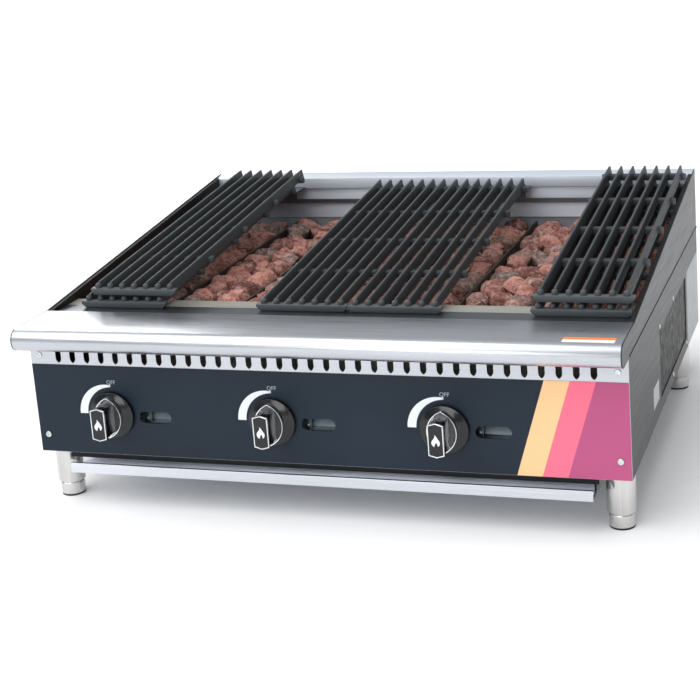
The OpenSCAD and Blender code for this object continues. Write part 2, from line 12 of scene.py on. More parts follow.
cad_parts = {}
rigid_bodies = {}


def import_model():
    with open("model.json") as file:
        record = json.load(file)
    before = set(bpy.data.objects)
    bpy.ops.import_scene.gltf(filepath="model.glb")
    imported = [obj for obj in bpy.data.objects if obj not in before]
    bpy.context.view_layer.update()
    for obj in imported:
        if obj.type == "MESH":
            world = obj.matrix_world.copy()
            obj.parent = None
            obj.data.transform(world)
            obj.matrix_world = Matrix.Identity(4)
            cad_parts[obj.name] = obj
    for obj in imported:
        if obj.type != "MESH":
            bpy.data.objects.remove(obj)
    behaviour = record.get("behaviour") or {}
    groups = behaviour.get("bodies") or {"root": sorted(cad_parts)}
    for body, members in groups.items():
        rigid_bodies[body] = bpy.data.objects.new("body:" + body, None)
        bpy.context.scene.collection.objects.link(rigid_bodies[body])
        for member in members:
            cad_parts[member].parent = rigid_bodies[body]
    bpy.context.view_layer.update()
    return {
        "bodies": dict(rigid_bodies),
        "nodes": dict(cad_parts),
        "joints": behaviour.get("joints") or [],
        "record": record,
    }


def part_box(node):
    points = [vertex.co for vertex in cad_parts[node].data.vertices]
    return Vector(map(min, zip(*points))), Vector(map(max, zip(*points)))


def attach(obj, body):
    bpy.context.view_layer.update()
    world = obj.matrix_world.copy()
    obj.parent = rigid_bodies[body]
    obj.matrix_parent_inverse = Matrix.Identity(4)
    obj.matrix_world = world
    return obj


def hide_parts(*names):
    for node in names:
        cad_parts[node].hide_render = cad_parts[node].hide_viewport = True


MM = 0.001
SEED = 36
# Side of the square frame that the camera's focal length and shift are counted in.
FRAME = 700
LOG = logging.getLogger("charbroiler")

Shade = tuple[float, float, float, float]
Tree = bpy.types.NodeTree
Socket = bpy.types.NodeSocket
Test = Callable[[object], bool]
Step = Callable[[], object]


class Axis(Enum):
    """The direction that a round part or a brushed grain runs in."""

    X = Vector((1, 0, 0))
    Y = Vector((0, 1, 0))
    Z = Vector((0, 0, 1))


class Domain(Enum):
    """What an edit-mode operator acts on."""

    POINTS = "VERT"
    EDGES = "EDGE"
    FACES = "FACE"


def mm(*values: float) -> Vector:
    """Turns millimetres into a vector in metres."""
    return Vector(values) * MM


def linear(code: str) -> Shade:
    """Turns an sRGB hex colour into the linear colour that shaders take.

    Args:
        code: Six hex digits, with or without a leading hash.

    Returns:
        Red, green, blue and an alpha of 1, all linear.
    """
    digits = code.lstrip("#")
    parts = [int(digits[i:i + 2], 16) / 255 for i in (0, 2, 4)]
    curve = [c / 12.92 if c <= 0.04045 else ((c + 0.055) / 1.055) ** 2.4 for c in parts]
    return (curve[0], curve[1], curve[2], 1.0)


def add_node(tree: Tree, kind: str, inputs: dict | None = None, **settings: object) -> bpy.types.Node:
    """Adds one shader node with its settings, and fills or links its inputs.

    Args:
        tree: The material's or world's node tree.
        kind: The node's type name, without its leading "ShaderNode".
        inputs: For each input's name or number, a socket, a node whose first output is linked, a
            hex colour or a plain value.
        **settings: Properties of the node itself.

    Returns:
        The new node.
    """
    node = tree.nodes.new("ShaderNode" + kind)
    for name, value in settings.items():
        setattr(node, name, value)
    for key, value in (inputs or {}).items():
        if isinstance(value, bpy.types.Node):
            value = value.outputs[0]
        if isinstance(value, Socket):
            tree.links.new(value, node.inputs[key])
        else:
            node.inputs[key].default_value = linear(value) if isinstance(value, str) else value
    return node


def every(item: object) -> bool:
    """Accepts every point, edge or face."""
    return True


@dataclass(frozen=True)
class Finish:
    """A real surface: its colour, its gloss and the pattern that its making leaves."""

    name: str
    colour: str
    second: str
    roughness: float
    metallic: float = 0.0
    gloss: float = 0.5

    def pattern(self, tree: Tree, place: Socket) -> dict[str, Socket]:
        """Adds the nodes of the pattern.

        Args:
            tree: The material's node tree.
            place: Object coordinates, in metres.

        Returns:
            Sockets for "Base Color", "Roughness" and "Normal", as far as there are any.
        """
        raise NotImplementedError

    def make(self) -> bpy.types.Material:
        """Builds the material.

        Returns:
            A material whose Principled shader carries the pattern.
        """
        material = bpy.data.materials.new(self.name)
        material.use_nodes = True
        tree = material.node_tree
        shader = tree.nodes["Principled BSDF"]
        shader.inputs["Metallic"].default_value = self.metallic
        shader.inputs["Roughness"].default_value = self.roughness
        shader.inputs["Specular IOR Level"].default_value = self.gloss
        place = add_node(tree, "TexCoord").outputs["Object"]
        for name, socket in self.pattern(tree, place).items():
            tree.links.new(socket, shader.inputs[name])
        return material


@dataclass(frozen=True)
class BrushedSheet(Finish):
    """Cold-rolled sheet or tube finished with an abrasive belt: fine lines all run one way."""

    grain: Axis = Axis.X
    line_mm: float = 0.9
    run_mm: float = 90.0
    band_mm: float = 45.0
    band_run_mm: float = 500.0
    relief: float = 0.12

    def pattern(self, tree: Tree, place: Socket) -> dict[str, Socket]:
        """Belt lines, and soft tone bands where the belt overlapped. See Finish.pattern."""
        # Real belt lines are about 0.1 mm apart; they are drawn coarser so that they show.
        waves = []
        for across, along, detail in ((self.line_mm, self.run_mm, 3.0), (self.band_mm, self.band_run_mm, 2.0)):
            rate = [1 / ((along if part else across) * MM) for part in self.grain.value]
            drawn = add_node(tree, "Mapping", {"Vector": place, "Scale": rate})
            waves.append(add_node(tree, "TexNoise", {"Vector": drawn, "Scale": 1.0, "Detail": detail}))
        fine, broad = waves
        tone = add_node(tree, "Math", {0: fine, 1: broad}, operation="ADD")
        shade = add_node(tree, "MapRange", {0: tone, 1: 0.75, 2: 1.25})
        colour = add_node(tree, "Mix", {0: shade, 6: self.colour, 7: self.second}, data_type="RGBA")
        least, most = self.roughness - 0.05, self.roughness + 0.09
        rough = add_node(tree, "MapRange", {0: fine, 1: 0.3, 2: 0.7, 3: least, 4: most})
        bump = add_node(tree, "Bump", {"Strength": self.relief, "Distance": 0.2 * MM, "Height": fine})
        return {"Base Color": colour.outputs[2], "Roughness": rough.outputs[0], "Normal": bump.outputs[0]}


@dataclass(frozen=True)
class CastSurface(Finish):
    """Sand-cast iron: grains of the mould leave a rough skin, darker in its pits."""

    grit_mm: float = 1.6
    lump_mm: float = 14.0
    relief: float = 0.55
    # Colour of a painted highlight on the sharpest ridges; none when empty.
    ridge_highlight: str = ""

    def pattern(self, tree: Tree, place: Socket) -> dict[str, Socket]:
        """Mould grit, broader unevenness, a tone that wanders, and a painted highlight on sharp ridges when one
        is given. See Finish.pattern.
        """
        # Moulding sand is 0.2 to 0.4 mm; the grit is drawn coarser so that it shows.
        grit = add_node(tree, "TexNoise", {"Vector": place, "Scale": 1 / (self.grit_mm * MM), "Detail": 4.0})
        lumps = add_node(tree, "TexNoise", {"Vector": place, "Scale": 1 / (self.lump_mm * MM), "Detail": 2.0})
        shade = add_node(tree, "MapRange", {0: lumps, 1: 0.35, 2: 0.65})
        colour = add_node(tree, "Mix", {0: shade, 6: self.colour, 7: self.second}, data_type="RGBA").outputs[2]
        # Lightens the sharpest ridges, such as the grate's bar tops, with a painted highlight.
        if self.ridge_highlight:
            ridge_sharpness = add_node(tree, "NewGeometry").outputs["Pointiness"]
            edge = add_node(tree, "MapRange", {0: ridge_sharpness, 1: 0.51, 2: 0.56, 3: 0.0, 4: 0.7})
            colour = add_node(tree, "Mix", {0: edge, 6: colour, 7: self.ridge_highlight}, data_type="RGBA").outputs[2]
        least, most = self.roughness - 0.1, self.roughness + 0.12
        rough = add_node(tree, "MapRange", {0: grit, 1: 0.3, 2: 0.7, 3: least, 4: most})
        height = add_node(tree, "Math", {0: grit, 1: lumps}, operation="ADD")
        bump = add_node(tree, "Bump", {"Strength": self.relief, "Distance": 0.6 * MM, "Height": height})
        return {"Base Color": colour, "Roughness": rough.outputs[0], "Normal": bump.outputs[0]}


@dataclass(frozen=True)
class PorousRock(Finish):
    """Broken scoria: each stone has its own tone and is full of gas bubbles."""

    third: str = "#6E5E58"
    dust: str = "#C9A79C"
    soot: str = "#3A2A27"
    # Colour mixed into the bubbles: painted shade of the holes.
    pore_shade: str = "#2E201E"
    pore_mm: float = 3.4
    mottle_mm: float = 9.0

    def pattern(self, tree: Tree, place: Socket) -> dict[str, Socket]:
        """Stone tones from the stone_tone attribute, mottling, and bubbles darkened with painted shade. See
        Finish.pattern.
        """
        tone = add_node(tree, "Attribute", attribute_name="stone_tone").outputs["Fac"]
        mottle = add_node(tree, "TexNoise",
                          {"Vector": place, "Scale": 1 / (self.mottle_mm * MM), "Detail": 5.0})
        pores = add_node(tree, "TexVoronoi", {"Vector": place, "Scale": 1 / (self.pore_mm * MM)})
        colour = self.colour
        # Each layer: what it follows, its colour, the range it follows, and its cover at each end.
        layers = (
            (tone, self.second, 0.05, 0.55, 0.0, 1.0), (tone, self.third, 0.6, 0.95, 0.0, 1.0),
            (mottle, self.dust, 0.45, 0.7, 0.0, 0.55), (mottle, self.soot, 0.28, 0.45, 0.6, 0.0),
            (pores, self.pore_shade, 0.12, 0.34, 0.75, 0.0),
        )
        for source, ink, start, end, first, last in layers:
            cover = add_node(tree, "MapRange", {0: source, 1: start, 2: end, 3: first, 4: last})
            colour = add_node(tree, "Mix", {0: cover, 6: colour, 7: ink}, data_type="RGBA").outputs[2]
        rise = add_node(tree, "MapRange", {0: pores, 1: 0.1, 2: 0.45})
        height = add_node(tree, "Math", {0: rise, 1: mottle}, operation="ADD")
        bump = add_node(tree, "Bump", {"Strength": 0.8, "Distance": 1.6 * MM, "Height": height})
        return {"Base Color": colour, "Normal": bump.outputs[0]}


@dataclass(frozen=True)
class Spangled(Finish):
    """Hot-dipped zinc: crystals about a fingertip wide, each with its own grey."""

    crystal_mm: float = 11.0
    smear_mm: float = 30.0

    def pattern(self, tree: Tree, place: Socket) -> dict[str, Socket]:
        """Zinc crystals with a little smear over them. See Finish.pattern."""
        cells = add_node(tree, "TexVoronoi", {"Vector": place, "Scale": 1 / (self.crystal_mm * MM)})
        grey = add_node(tree, "SeparateColor", {0: cells.outputs["Color"]})
        smear = add_node(tree, "TexNoise", {"Vector": place, "Scale": 1 / (self.smear_mm * MM), "Detail": 4.0})
        mixed = add_node(tree, "Math", {0: grey, 1: smear}, operation="MULTIPLY")
        shade = add_node(tree, "MapRange", {0: mixed, 1: 0.05, 2: 0.55})
        colour = add_node(tree, "Mix", {0: shade, 6: self.colour, 7: self.second}, data_type="RGBA")
        rough = add_node(tree, "MapRange", {0: grey, 3: self.roughness - 0.08, 4: self.roughness + 0.1})
        return {"Base Color": colour.outputs[2], "Roughness": rough.outputs[0]}


@dataclass(frozen=True)
class SmoothSkin(Finish):
    """A moulded, plated, printed or painted skin: nearly even, with a faint ripple and dust."""

    ripple_mm: float = 25.0
    relief: float = 0.04

    def pattern(self, tree: Tree, place: Socket) -> dict[str, Socket]:
        """A faint drift of tone, gloss and height. See Finish.pattern."""
        drift = add_node(tree, "TexNoise", {"Vector": place, "Scale": 1 / (self.ripple_mm * MM), "Detail": 4.0})
        shade = add_node(tree, "MapRange", {0: drift, 1: 0.3, 2: 0.7})
        colour = add_node(tree, "Mix", {0: shade, 6: self.colour, 7: self.second}, data_type="RGBA")
        least, most = self.roughness * 0.85, self.roughness * 1.2
        rough = add_node(tree, "MapRange", {0: drift, 1: 0.3, 2: 0.7, 3: least, 4: most})
        bump = add_node(tree, "Bump", {"Strength": self.relief, "Distance": 0.4 * MM, "Height": drift})
        return {"Base Color": colour.outputs[2], "Roughness": rough.outputs[0], "Normal": bump.outputs[0]}


@dataclass(frozen=True)
class StripedFilm(SmoothSkin):
    """Printed polyester film: a slate ground with three leaning stripes at its right end."""

    stripes: tuple[tuple[float, str], ...] = ((296.7, "#F9C793"), (332.7, "#F2728C"), (368.9, "#B5547E"))
    lean: float = 0.312
    foot_mm: float = 85.7

    def pattern(self, tree: Tree, place: Socket) -> dict[str, Socket]:
        """The ground's drift, then each stripe over it by its place. See Finish.pattern."""
        made = super().pattern(tree, place)
        spot = add_node(tree, "SeparateXYZ", {0: place}).outputs
        rise = add_node(tree, "Math", {0: spot[2], 1: -self.lean, 2: self.lean * self.foot_mm * MM},
                        operation="MULTIPLY_ADD")
        across = add_node(tree, "Math", {0: spot[0], 1: rise}, operation="ADD")
        colour = made["Base Color"]
        for edge, ink in self.stripes:
            past = add_node(tree, "Math", {0: across, 1: edge * MM}, operation="GREATER_THAN")
            colour = add_node(tree, "Mix", {0: past, 6: colour, 7: ink}, data_type="RGBA").outputs[2]
        return {**made, "Base Color": colour}


@dataclass(frozen=True)
class TwoBandLabel(SmoothSkin):
    """A vinyl label printed in two plain bands."""

    split_mm: float = 0.0

    def pattern(self, tree: Tree, place: Socket) -> dict[str, Socket]:
        """The first colour in front of the split and the second one behind it. See Finish.pattern."""
        spot = add_node(tree, "SeparateXYZ", {0: place}).outputs
        past = add_node(tree, "Math", {0: spot[1], 1: self.split_mm * MM}, operation="GREATER_THAN")
        colour = add_node(tree, "Mix", {0: past, 6: self.colour, 7: self.second}, data_type="RGBA")
        return {**super().pattern(tree, place), "Base Color": colour.outputs[2]}


# Belt-brushed 430 stainless sheet: soft streaked reflections with a cool white sheen.
LEDGE_STEEL = BrushedSheet("brushed_stainless_sheet", "#BCBFC5", "#CBCED3", 0.3, 1.0,
                           line_mm=0.7, relief=0.05)
# The splash at the rear: stainless with a bluish tint, made pale and half diffuse so that its bands look
# bright, a painted reflection of the light room.
SPLASH_STEEL = BrushedSheet("bright_stainless_sheet", "#C3CBD6", "#D2D9E1", 0.42, 0.4,
                            line_mm=0.7, relief=0.02)
# End plate sheet, brushed front to back and streaky; its base is far darker than real stainless, painted shade
# standing for the dark reflection of the room beside it.
SIDE_STEEL = BrushedSheet("side_stainless_sheet", "#2E3033", "#37393C", 0.36, 1.0,
                          grain=Axis.Y, relief=0.05)
# Lower side sheet, a satin stainless: even and duller, its base far darker than real stainless, painted shade
# standing for the dark reflection of the room beside it.
LOWER_SIDE_STEEL = BrushedSheet("satin_stainless_sheet", "#3E4042", "#48494B", 0.4, 1.0,
                                grain=Axis.Y, relief=0.05)
# Drawn and polished stainless tube: bright vertical bands.
LEG_STEEL = BrushedSheet("polished_stainless_tube", "#C4C3C2", "#DAD8D6", 0.2, 1.0,
                         grain=Axis.Z, line_mm=1.6)
# Screen-printed polyester film on the panel: slate black with a soft satin reflection.
PANEL_FILM = StripedFilm("printed_panel_film", "#121F2B", "#192735", 0.42, gloss=0.26,
                         ripple_mm=140.0, relief=0.02)
# White screen ink: even and matt.
WHITE_INK = SmoothSkin("white_screen_ink", "#E4ECF4", "#F2F6FA", 0.5, ripple_mm=6.0, relief=0.02)
# Grey screen ink for the small word and the blank frame.
GREY_INK = SmoothSkin("grey_screen_ink", "#9BA3AC", "#AEB5BD", 0.5, ripple_mm=6.0, relief=0.02)
# Galvanised steel behind the side windows, with clear zinc crystals; its near-black base, far darker than real
# zinc, is painted shade of the recess behind the windows.
ZINC_SHEET = Spangled("galvanised_sheet", "#101010", "#282827", 0.5, 0.9)
# Steel blackened by heat and grease inside the firebox: dull and sooty.
SOOTY_STEEL = CastSurface("sooted_firebox_steel", "#0E0E0F", "#1B1B1D", 0.6, 0.3, grit_mm=3.0, relief=0.2)
# Bare hot-rolled sheet for rails: grey with a bluish scale.
MILL_STEEL = BrushedSheet("hot_rolled_sheet", "#5B6066", "#757A80", 0.36, 1.0, line_mm=1.8, run_mm=60.0)
# Galvanised back panel: mid grey with broad zinc crystals.
BACK_STEEL = Spangled("galvanised_back_sheet", "#8A8D90", "#A9ACAE", 0.38, 0.9, crystal_mm=14.0)
# Black painted steel pipe and rail: semi-gloss over a slightly uneven ground. The rail under the panel is a
# black strip that stands where the gap above the tray lies in shade: a painted shadow.
BLACK_PAINT = SmoothSkin("black_painted_steel", "#0A0B0C", "#111214", 0.45, gloss=0.25,
                         ripple_mm=8.0, relief=0.15)
# Raw grey cast iron of burners and rock grates: brown-grey, gritty and dull.
RAW_IRON = CastSurface("raw_cast_iron", "#3A3633", "#54493F", 0.72, 0.4, grit_mm=2.0, relief=0.6)
# Seasoned cast iron cooking grates: charcoal, with a painted highlight in lighter grey along the bar tops.
GRATE_IRON = CastSurface("seasoned_cast_iron", "#070708", "#0D0D0F", 0.5, 0.0, 0.27, grit_mm=1.7, relief=0.4,
                         ridge_highlight="#5E6366")
# Lava rock: reddish-brown, pink and grey stones with open bubbles.
LAVA = PorousRock("lava_rock", "#6B3F38", "#B4786B", 0.92)
# Aluminised sheet at the front of the firebox: pale beige-grey, dull.
ALUMINISED = BrushedSheet("aluminised_sheet", "#96948B", "#A8A69C", 0.5, 0.5, line_mm=2.0, relief=0.05)
# Plated steel of the supply pipe and the small tubes: pale blue-grey, softly shiny.
PLATED_STEEL = SmoothSkin("plated_steel", "#9DAEBC", "#B4C1CC", 0.42, 0.5, ripple_mm=12.0, relief=0.1)
# Primed iron pipe seen through the access slots: pale blue-grey, dull.
PRIMED_PIPE = SmoothSkin("primed_iron_pipe", "#B4C8D6", "#C8D8E2", 0.5, 0.1, ripple_mm=12.0, relief=0.1)
# Machined brass of valves and orifices: warm, with a dull bloom.
BRASS = SmoothSkin("machined_brass", "#B08B4A", "#C9A560", 0.32, 1.0, ripple_mm=5.0, relief=0.1)
# Zinc-plated screw steel: pale with a green-grey cast.
ZINC_PLATE = SmoothSkin("zinc_plated_screw", "#C2CAC6", "#E2E8E4", 0.3, 1.0, ripple_mm=2.5, relief=0.15)
# Vacuum-metallised trim on the knobs: mirror-like with a silver-white edge.
CHROME = SmoothSkin("metallised_trim", "#D9DCE0", "#F0F1F3", 0.14, 1.0, ripple_mm=4.0, relief=0.05)
# Glossy black phenolic: deep black with clean highlights.
PHENOLIC = SmoothSkin("moulded_phenolic", "#08090B", "#0F1114", 0.16, ripple_mm=9.0, relief=0.03)
# Moulded rubber pad: matt charcoal.
RUBBER = SmoothSkin("moulded_rubber", "#161616", "#222222", 0.75, ripple_mm=3.0, relief=0.2)
# Blank foil plate: flat pale grey with a weak sheen.
BLANK_PLATE = SmoothSkin("blank_foil_plate", "#B7B9B8", "#C9CBCA", 0.45, 0.3, ripple_mm=8.0)
# Blank vinyl label: flat colour, orange behind and white in front.
BAND_LABEL = TwoBandLabel("two_band_vinyl_label", "#F1EEE8", "#F08030", 0.45, split_mm=-389.5)
# Folded drip tray of rolled stainless: bright, with long faint lines.
TRAY_STEEL = BrushedSheet("rolled_tray_sheet", "#CBCFD6", "#DCDFE5", 0.3, 1.0, run_mm=160.0, relief=0.06)

SLOT_FINISH: dict[str, Finish] = {
    "brushed_stainless": LEDGE_STEEL, "satin_stainless": LOWER_SIDE_STEEL, "black_overlay": PANEL_FILM,
    "galvanised_steel": ZINC_SHEET, "heat_blackened_steel": SOOTY_STEEL, "mill_steel": MILL_STEEL,
    "black_steel": BLACK_PAINT, "raw_cast_iron": RAW_IRON, "grate_cast_iron": GRATE_IRON,
    "lava_rock": LAVA, "plated_steel": PLATED_STEEL, "brass": BRASS, "zinc_screw": ZINC_PLATE,
    "plain_label": BLANK_PLATE, "orange_label": BAND_LABEL, "leg_stainless": LEG_STEEL,
    "knob_plastic": PHENOLIC, "tray_steel": TRAY_STEEL,
}
NODE_FINISH: dict[str, Finish] = {
    "front_liner": ALUMINISED, "rear_splash": SPLASH_STEEL, "manifold_pipe": PRIMED_PIPE,
    "pilot_valves": ZINC_PLATE, **dict.fromkeys(("left_upper_side", "right_upper_side"), SIDE_STEEL),
    **dict.fromkeys(("back_panel", "left_base_rail", "right_base_rail", "tray_runners"), BACK_STEEL),
}


class Palette:
    """Makes each finish's material once and hands it out."""

    def __init__(self) -> None:
        """Starts with nothing made."""
        self.made: dict[str, bpy.types.Material] = {}

    def get(self, finish: Finish) -> bpy.types.Material:
        """Gives the finish's material, made at its first use."""
        if finish.name not in self.made:
            self.made[finish.name] = finish.make()
        return self.made[finish.name]


PALETTE = Palette()


def select_only(*objects: bpy.types.Object) -> None:
    """Deselects everything, then selects these and makes the first one active."""
    bpy.ops.object.select_all(action="DESELECT")
    for thing in objects:
        thing.select_set(True)
    bpy.context.view_layer.objects.active = objects[0]


def box_of(thing: bpy.types.Object) -> tuple[Vector, Vector]:
    """Gives the lowest and the highest corner of an object's mesh."""
    points = [v.co for v in thing.data.vertices]
    return Vector(map(min, zip(*points))), Vector(map(max, zip(*points)))


class Workpiece:
    """One mesh under Blender's tools, from its first shape to the finished piece."""

    def __init__(self, thing: bpy.types.Object, name: str) -> None:
        """Takes charge of a new object, and puts its place and size into its mesh.

        Args:
            thing: The object.
            name: The object's and its mesh's new name.
        """
        self.thing = thing
        self.rename(name)
        select_only(thing)
        bpy.ops.object.transform_apply(location=True, rotation=True, scale=True)

    @classmethod
    def block(cls, name: str, low: Vector, high: Vector) -> "Workpiece":
        """Starts from a cuboid between two corners."""
        bpy.ops.object.select_all(action="DESELECT")
        bpy.ops.mesh.primitive_cube_add(size=1, location=(low + high) / 2, scale=high - low)
        return cls(bpy.context.active_object, name)

    @classmethod
    def bar(cls, name: str, start: Vector, radius: float, length: float, axis: Axis,
            sides: int = 64) -> "Workpiece":
        """Starts from a round bar.

        Args:
            name: The new piece's name.
            start: The middle of the end face that lies lowest along the axis.
            radius: In metres.
            length: In metres.
            axis: The way the bar runs.
            sides: How many flat sides the round has.

        Returns:
            The piece.
        """
        turn = {Axis.X: (0, math.pi / 2, 0), Axis.Y: (-math.pi / 2, 0, 0), Axis.Z: (0, 0, 0)}[axis]
        bpy.ops.object.select_all(action="DESELECT")
        bpy.ops.mesh.primitive_cylinder_add(vertices=sides, radius=radius, depth=length, rotation=turn,
                                            location=start + axis.value * length / 2)
        return cls(bpy.context.active_object, name)

    @classmethod
    def ball(cls, name: str, centre: Vector, radius: float, cuts: int = 2) -> "Workpiece":
        """Starts from a faceted ball."""
        bpy.ops.object.select_all(action="DESELECT")
        bpy.ops.mesh.primitive_ico_sphere_add(subdivisions=cuts, radius=radius, location=centre)
        return cls(bpy.context.active_object, name)

    @classmethod
    def from_node(cls, name: str, node: bpy.types.Object) -> "Workpiece":
        """Starts from a copy of a CAD node's mesh, its loose triangles merged and its flats whole.

        Args:
            name: The new piece's name.
            node: The CAD node's object, which stays as it is.

        Returns:
            The piece.
        """
        thing = bpy.data.objects.new(name, node.data.copy())
        bpy.context.scene.collection.objects.link(thing)
        piece = cls(thing, name)
        return piece.edit(Domain.FACES, every,
                          lambda: bpy.ops.mesh.remove_doubles(threshold=0.005 * MM),
                          lambda: bpy.ops.mesh.dissolve_limited(angle_limit=math.radians(0.5)))

    def edit(self, domain: Domain, test: Test, *steps: Step) -> "Workpiece":
        """Selects what the test accepts and runs the steps on it in edit mode.

        Args:
            domain: Points, edges or faces.
            test: Takes a vertex, an edge or a polygon of the mesh.
            *steps: Operators to run, in order.

        Returns:
            The piece itself.
        """
        select_only(self.thing)
        bpy.ops.object.mode_set(mode="EDIT")
        bpy.ops.mesh.select_mode(type=domain.value)
        bpy.ops.mesh.select_all(action="DESELECT")
        bpy.ops.object.mode_set(mode="OBJECT")
        mesh = self.thing.data
        members = {Domain.POINTS: mesh.vertices, Domain.EDGES: mesh.edges, Domain.FACES: mesh.polygons}
        for item in members[domain]:
            item.select = test(item)
        bpy.ops.object.mode_set(mode="EDIT")
        for step in steps:
            step()
        bpy.ops.object.mode_set(mode="OBJECT")
        return self

    def rename(self, name: str) -> "Workpiece":
        """Names the object and its mesh."""
        self.thing.name = self.thing.data.name = name
        return self

    def middle(self, edge: bpy.types.MeshEdge) -> Vector:
        """Gives the midpoint of an edge."""
        points = self.thing.data.vertices
        return (points[edge.vertices[0]].co + points[edge.vertices[1]].co) / 2

    def span(self, edge: bpy.types.MeshEdge) -> Vector:
        """Gives an edge's run from one end to the other, with positive parts."""
        points = self.thing.data.vertices
        run = points[edge.vertices[0]].co - points[edge.vertices[1]].co
        return Vector(abs(part) for part in run)

    def move(self, test: Test, by: Vector) -> "Workpiece":
        """Moves the points that the test accepts."""
        return self.edit(Domain.POINTS, test, lambda: bpy.ops.transform.translate(value=by))

    def squeeze(self, test: Test, factors: Sequence[float], centre: Vector) -> "Workpiece":
        """Scales the points that the test accepts, about a centre."""
        return self.edit(Domain.POINTS, test, lambda: bpy.ops.transform.resize(
            value=factors, center_override=centre))

    def bevel(self, test: Test, offset: float, segments: int) -> "Workpiece":
        """Rounds or cuts the edges that the test accepts."""
        return self.edit(Domain.EDGES, test, lambda: bpy.ops.mesh.bevel(offset=offset, segments=segments))

    def split(self, point: Vector, outward: Sequence[float], drop: bool = False) -> "Workpiece":
        """Cuts the faces at a plane; drop takes away what lies outward of it and closes the cut."""
        return self.edit(Domain.FACES, every, lambda: bpy.ops.mesh.bisect(
            plane_co=point, plane_no=outward, use_fill=drop, clear_outer=drop))

    def modify(self, kind: str, **settings: object) -> "Workpiece":
        """Adds one modifier and applies it.

        Args:
            kind: The modifier's type.
            **settings: Its properties.

        Returns:
            The piece itself.
        """
        select_only(self.thing)
        bpy.ops.object.modifier_add(type=kind)
        modifier = self.thing.modifiers[-1]
        for name, value in settings.items():
            setattr(modifier, name, value)
        bpy.ops.object.modifier_apply(modifier=modifier.name)
        return self

    def soften(self, width: float, segments: int = 2, angle: float = 30) -> "Workpiece":
        """Rounds every edge sharper than an angle in degrees."""
        return self.modify("BEVEL", width=width, segments=segments, limit_method="ANGLE",
                           angle_limit=math.radians(angle), use_clamp_overlap=True)

    def smooth(self, angle: float = 32) -> "Workpiece":
        """Shades the piece smooth, apart from edges sharper than an angle in degrees."""
        select_only(self.thing)
        bpy.ops.object.shade_smooth_by_angle(angle=math.radians(angle))
        return self

    def cut(self, tool: "Workpiece") -> "Workpiece":
        """Takes the tool's shape out of the piece and removes the tool."""
        self.modify("BOOLEAN", operation="DIFFERENCE", object=tool.thing, solver="EXACT")
        discard(tool)
        return self

    def copy(self, name: str, place: Matrix = Matrix()) -> "Workpiece":
        """Makes a copy with its own mesh.

        Args:
            name: The copy's name.
            place: The matrix that moves its mesh.

        Returns:
            The copy.
        """
        thing = self.thing.copy()
        thing.data = self.thing.data.copy()
        bpy.context.scene.collection.objects.link(thing)
        thing.data.transform(place)
        return Workpiece(thing, name)

    def join(self, others: Iterable["Workpiece"]) -> "Workpiece":
        """Joins other pieces into this one."""
        select_only(self.thing, *[piece.thing for piece in others])
        bpy.ops.object.join()
        return self

    def place(self, matrix: Matrix) -> "Workpiece":
        """Moves or turns the mesh by a matrix."""
        self.thing.data.transform(matrix)
        return self

    def deliver(self, body: str, finish: Finish, slot: str, *stands_for: str) -> bpy.types.Object:
        """Gives the piece its finish and hands it to the frame.

        Args:
            body: The CAD body that it moves with.
            finish: What it is made of.
            slot: The record's material slot of that finish; not used.
            *stands_for: The CAD nodes that it replaces.

        Returns:
            The finished object.
        """
        mesh = self.thing.data
        mesh.materials.clear()
        mesh.materials.append(PALETTE.get(finish))
        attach(self.thing, body)
        if stands_for:
            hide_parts(*stands_for)
        LOG.info("%s: %d faces, %s, moves with %s", self.thing.name, len(mesh.polygons), finish.name, body)
        return self.thing


def discard(*pieces: Workpiece) -> None:
    """Removes pieces that served as patterns or tools."""
    for piece in pieces:
        bpy.data.objects.remove(piece.thing)


@dataclass
class Cabinet:
    """Where the cabinet's faces lie, taken from the frame."""

    frame: dict

    def __post_init__(self) -> None:
        """Reads the depth of the panel's front face."""
        self.face_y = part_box("panel_overlay")[0].y

    def body(self, node: str) -> str:
        """Finds the body that a CAD node moves with.

        Args:
            node: The CAD node's name.

        Returns:
            The body's name.
        """
        for name, members in self.frame["record"]["behaviour"]["bodies"].items():
            if node in members:
                return name
        raise KeyError(node)

    def slot(self, node: str) -> str:
        """Gives the record's material slot of a CAD node."""
        return next(p["material_slot"] for p in self.frame["record"]["subparts"] if p["node"] == node)


@dataclass
class SheetWork:
    """Sheet metal, tube and castings whose CAD shape is right: edges eased, curves smoothed."""

    cabinet: Cabinet
    eased: tuple[tuple[str, str, float], ...] = (
        ("front_ledge", "bullnose_ledge", 0.25), ("tray_front", "tray_pull", 0.25),
        ("leg_tubes", "leg_sleeves", 0.8), ("rear_splash", "lapped_splash", 0.2),
    )
    smoothed: tuple[str, ...] = (
        "manifold_pipe", "gas_supply_pipe", "pilot_tubes", "pilot_heads", "pilot_valves", "gas_valves",
        "orifice_hoods", "air_shutters", "burner_left", "burner_center", "burner_right",
        "valve_stem_left", "valve_stem_center", "valve_stem_right",
    )

    def build(self) -> None:
        """Makes the eased and the smoothed pieces."""
        nodes = self.cabinet.frame["nodes"]
        for node, name, ease in self.eased:
            piece = Workpiece.from_node(name, nodes[node]).soften(ease * MM, angle=40).smooth(40)
            self.finish(piece, node)
        for node in self.smoothed:
            self.finish(Workpiece.from_node("smooth_" + node, nodes[node]).smooth(35), node)

    def finish(self, piece: Workpiece, node: str) -> None:
        """Delivers a piece with the finish of the node that it replaces."""
        slot = self.cabinet.slot(node)
        piece.deliver(self.cabinet.body(node), NODE_FINISH.get(node, SLOT_FINISH[slot]), slot, node)


